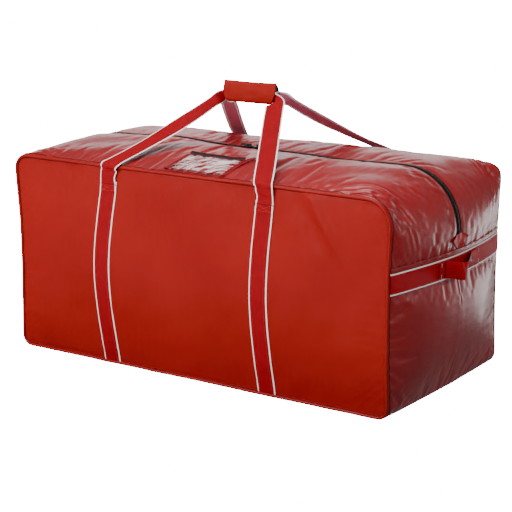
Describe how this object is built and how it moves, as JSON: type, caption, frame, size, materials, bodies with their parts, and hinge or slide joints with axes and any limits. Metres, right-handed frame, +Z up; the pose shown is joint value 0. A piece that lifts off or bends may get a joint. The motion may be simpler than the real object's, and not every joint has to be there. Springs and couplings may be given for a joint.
{
  "type": "hockey equipment bag",
  "caption": "Long box-shaped carry bag in coated fabric with a top zip, wrap-around webbing straps, two carry handles joined by a wrapped grip, and a grab loop on each end.",
  "frame": {"origin": "middle of the bounding box on the ground", "axes": "+X along the bag, -Y towards the front panel with the identity card pocket, +Z up"},
  "size_m": [1.1316, 0.515, 0.649],
  "materials": {
    "shell_fabric": "coated fabric, satin on the front and glossy on top",
    "piping": "vinyl-covered cord",
    "black_binding": "woven binding tape",
    "webbing": "woven, red with white edges",
    "grab_webbing": "woven, plain red",
    "tack_thread": "bar tack stitching",
    "zip_tape": "woven tape",
    "zip_coil": "nylon coil",
    "slider_metal": "black enamel",
    "patch_fabric": "coated fabric",
    "grip_fabric": "padded coated fabric",
    "hook_loop": "hook and loop tape",
    "clear_window": "clear vinyl sheet"
  },
  "bodies": {
    "bag": {"front_panel": "shell_fabric", "rear_panel": "shell_fabric", "bottom_panel": "shell_fabric", "left_end_panel": "shell_fabric", "right_end_panel": "shell_fabric", "top_front_band": "shell_fabric", "top_rear_band": "shell_fabric", "front_piping": "piping", "rear_piping": "piping", "front_seam_binding": "black_binding", "rear_seam_binding": "black_binding", "left_body_strap": "webbing", "right_body_strap": "webbing", "handle_tacks": "tack_thread", "left_end_strap": "webbing", "right_end_strap": "webbing", "left_grab_tails": "grab_webbing", "right_grab_tails": "grab_webbing", "right_end_tape": "zip_tape", "left_end_tape": "zip_tape", "right_end_coil": "zip_coil", "left_end_coil": "zip_coil", "right_zip_patch": "patch_fabric", "left_zip_patch": "patch_fabric"},
    "front_flap": {"top_front_flap": "shell_fabric", "front_tape": "zip_tape", "front_coil": "zip_coil", "id_window": "clear_window", "id_frame": "patch_fabric", "id_binding": "black_binding"},
    "rear_flap": {"top_rear_flap": "shell_fabric", "rear_tape": "zip_tape", "rear_coil": "zip_coil"},
    "right_slider": {"right_slider": "slider_metal"},
    "left_slider": {"left_slider": "slider_metal"},
    "right_pull": {"right_pull": "slider_metal"},
    "left_pull": {"left_pull": "slider_metal"},
    "front_risers": {"left_front_riser": "webbing", "right_front_riser": "webbing"},
    "rear_risers": {"left_rear_riser": "webbing", "right_rear_riser": "webbing"},
    "front_handle": {"front_handle": "webbing"},
    "rear_handle": {"rear_handle": "webbing", "grip_wrap": "grip_fabric", "grip_loop_tape": "hook_loop"},
    "grip_flap": {"grip_flap": "grip_fabric", "grip_hook_tape": "hook_loop"},
    "right_grab": {"right_grab_loop": "grab_webbing"},
    "left_grab": {"left_grab_loop": "grab_webbing"}
  },
  "joints": [
    {"name": "handles_fold", "type": "hinge", "parent": "bag", "child": "rear_risers", "pos_m": [-0.01, 0.2575, 0.424], "axis": [-1, 0, 0], "range_deg": [0, 175]},
    {"name": "rear_handle_unbend", "type": "hinge", "parent": "rear_risers", "child": "rear_handle", "pos_m": [-0.01, 0.25, 0.468], "axis": [-1, 0, 0], "range_deg": [0, 59]},
    {"name": "front_risers_fold", "type": "hinge", "parent": "bag", "child": "front_risers", "pos_m": [-0.01, -0.2575, 0.424], "axis": [1, 0, 0], "range_deg": [0, 175]},
    {"name": "front_handle_unbend", "type": "hinge", "parent": "front_risers", "child": "front_handle", "pos_m": [-0.01, -0.25, 0.468], "axis": [1, 0, 0], "range_deg": [0, 59]},
    {"name": "grip_flap_open", "type": "hinge", "parent": "rear_handle", "child": "grip_flap", "pos_m": [-0.01, 0, 0.599], "axis": [1, 0, 0], "range_deg": [0, 150], "deforming": ["grip_flap", "grip_hook_tape"]},
    {"name": "zip_open", "type": "slide", "parent": "bag", "child": "right_slider", "axis": [1, 0, 0], "range_m": [0, 0.385]},
    {"name": "left_slider_run", "type": "slide", "parent": "bag", "child": "left_slider", "axis": [-1, 0, 0], "range_m": [0, 0.385]},
    {"name": "front_flap_open", "type": "hinge", "parent": "bag", "child": "front_flap", "pos_m": [0, -0.2375, 0.4716], "axis": [-1, 0, 0], "range_deg": [0, 84.1], "deforming": ["front_tape", "front_coil"]},
    {"name": "rear_flap_open", "type": "hinge", "parent": "bag", "child": "rear_flap", "pos_m": [0, 0.2375, 0.4716], "axis": [1, 0, 0], "range_deg": [0, 84.1], "deforming": ["rear_tape", "rear_coil"]},
    {"name": "right_pull_flip", "type": "hinge", "parent": "right_slider", "child": "right_pull", "pos_m": [0.014, 0, 0.5026], "axis": [0, -1, 0], "range_deg": [0, 120]},
    {"name": "left_pull_flip", "type": "hinge", "parent": "left_slider", "child": "left_pull", "pos_m": [-0.014, 0, 0.5026], "axis": [0, 1, 0], "range_deg": [0, 120]},
    {"name": "right_grab_lift", "type": "hinge", "parent": "bag", "child": "right_grab", "pos_m": [0.5395, 0.01, 0.293], "axis": [0, -1, 0], "range_deg": [0, 25]},
    {"name": "left_grab_lift", "type": "hinge", "parent": "bag", "child": "left_grab", "pos_m": [-0.5395, 0.01, 0.293], "axis": [0, 1, 0], "range_deg": [0, 25]}
  ],
  "couplings": [
    {"joint": "front_risers_fold", "follows": "handles_fold", "ratio": 1},
    {"joint": "rear_handle_unbend", "follows": "handles_fold", "ratio": 0.337},
    {"joint": "front_handle_unbend", "follows": "handles_fold", "ratio": 0.337},
    {"joint": "grip_flap_open", "follows": "handles_fold", "ratio": 0.857},
    {"joint": "left_slider_run", "follows": "zip_open", "ratio": 1},
    {"joint": "front_flap_open", "follows": "zip_open", "rad_per_m": 3.81},
    {"joint": "rear_flap_open", "follows": "zip_open", "rad_per_m": 3.81}
  ]
}
